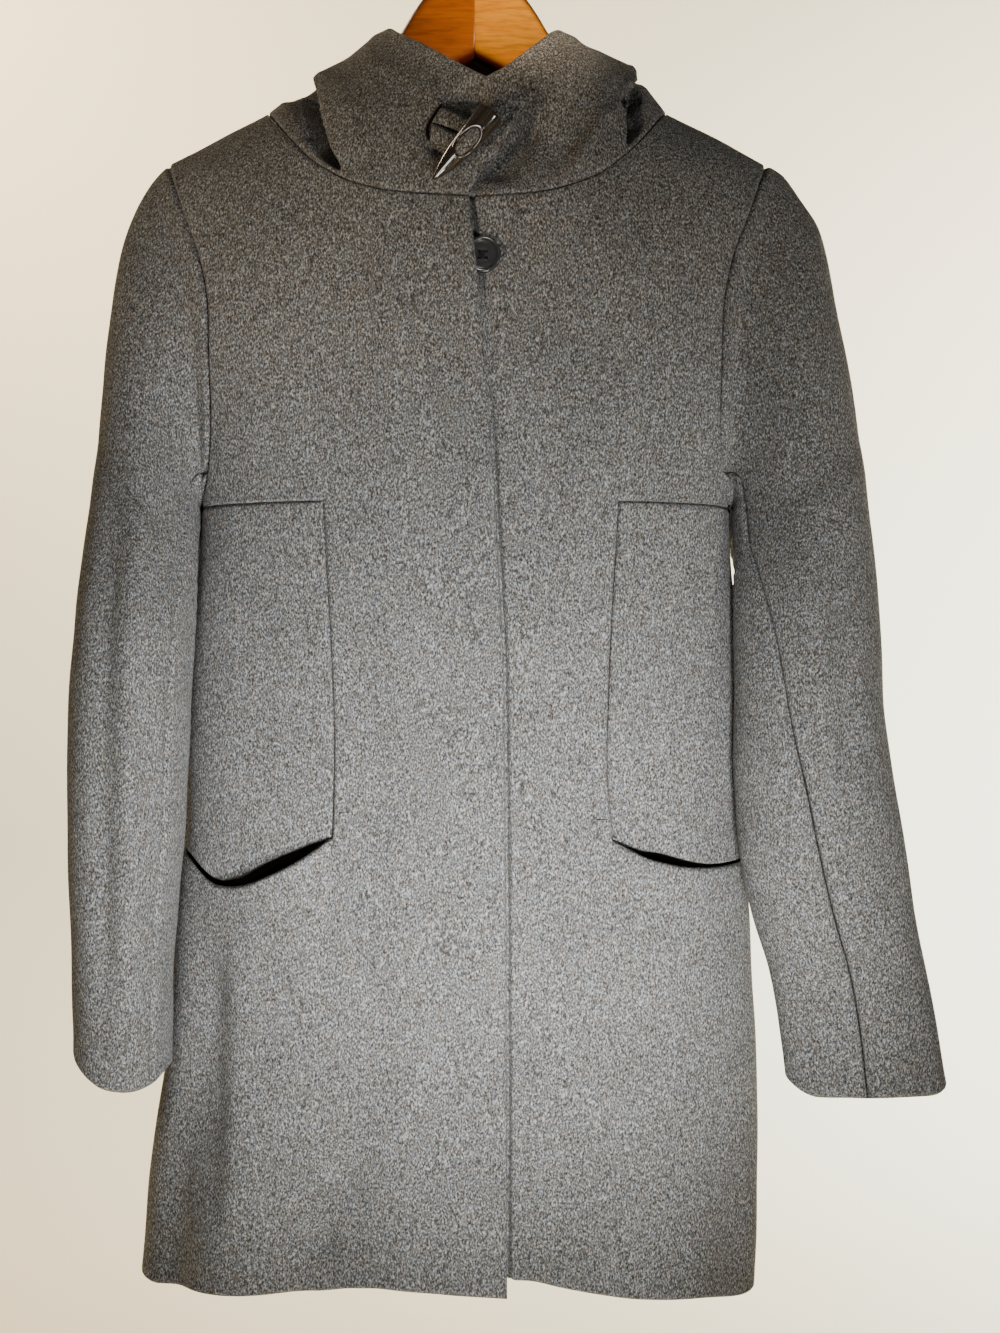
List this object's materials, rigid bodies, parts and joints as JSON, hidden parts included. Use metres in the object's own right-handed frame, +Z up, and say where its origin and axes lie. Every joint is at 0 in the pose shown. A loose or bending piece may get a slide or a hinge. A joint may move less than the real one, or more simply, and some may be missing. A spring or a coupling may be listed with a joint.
{
  "type": "hooded coat on a hanger",
  "caption": "Thigh-length wool coat with a funnel hood, toggle, inset side panels with pocket mouths and sleeves of two pieces, hanging on a wooden hanger with a steel hook.",
  "frame": {"origin": "inner top of the hanger's hook, where a rail or peg carries it", "axes": "+Z up, front of the coat towards -Y, wearer's left towards +X"},
  "size_m": [0.5882, 0.2204, 0.958],
  "materials": {
    "wool": "heather grey brushed wool",
    "lining": "black satin lining",
    "horn": "polished dark horn",
    "button_black": "glossy black",
    "hanger_wood": "varnished orange-brown wood",
    "hook_steel": "bright steel wire"
  },
  "bodies": {
    "root": {"front_right": "wool", "front_left": "wool", "side_panel_right": "wool", "side_panel_left": "wool", "back": "wool", "top_sleeve_right": "wool", "under_sleeve_right": "wool", "top_sleeve_left": "wool", "under_sleeve_left": "wool", "hood_right": "wool", "hood_left": "wool", "hood_crown": "wool", "hood_lining": "lining", "toggle": "horn", "toggle_loop": "wool", "button": "button_black", "hanger_wood_right": "hanger_wood", "hanger_wood_left": "hanger_wood", "hanger_hook": "hook_steel"}
  },
  "joints": []
}
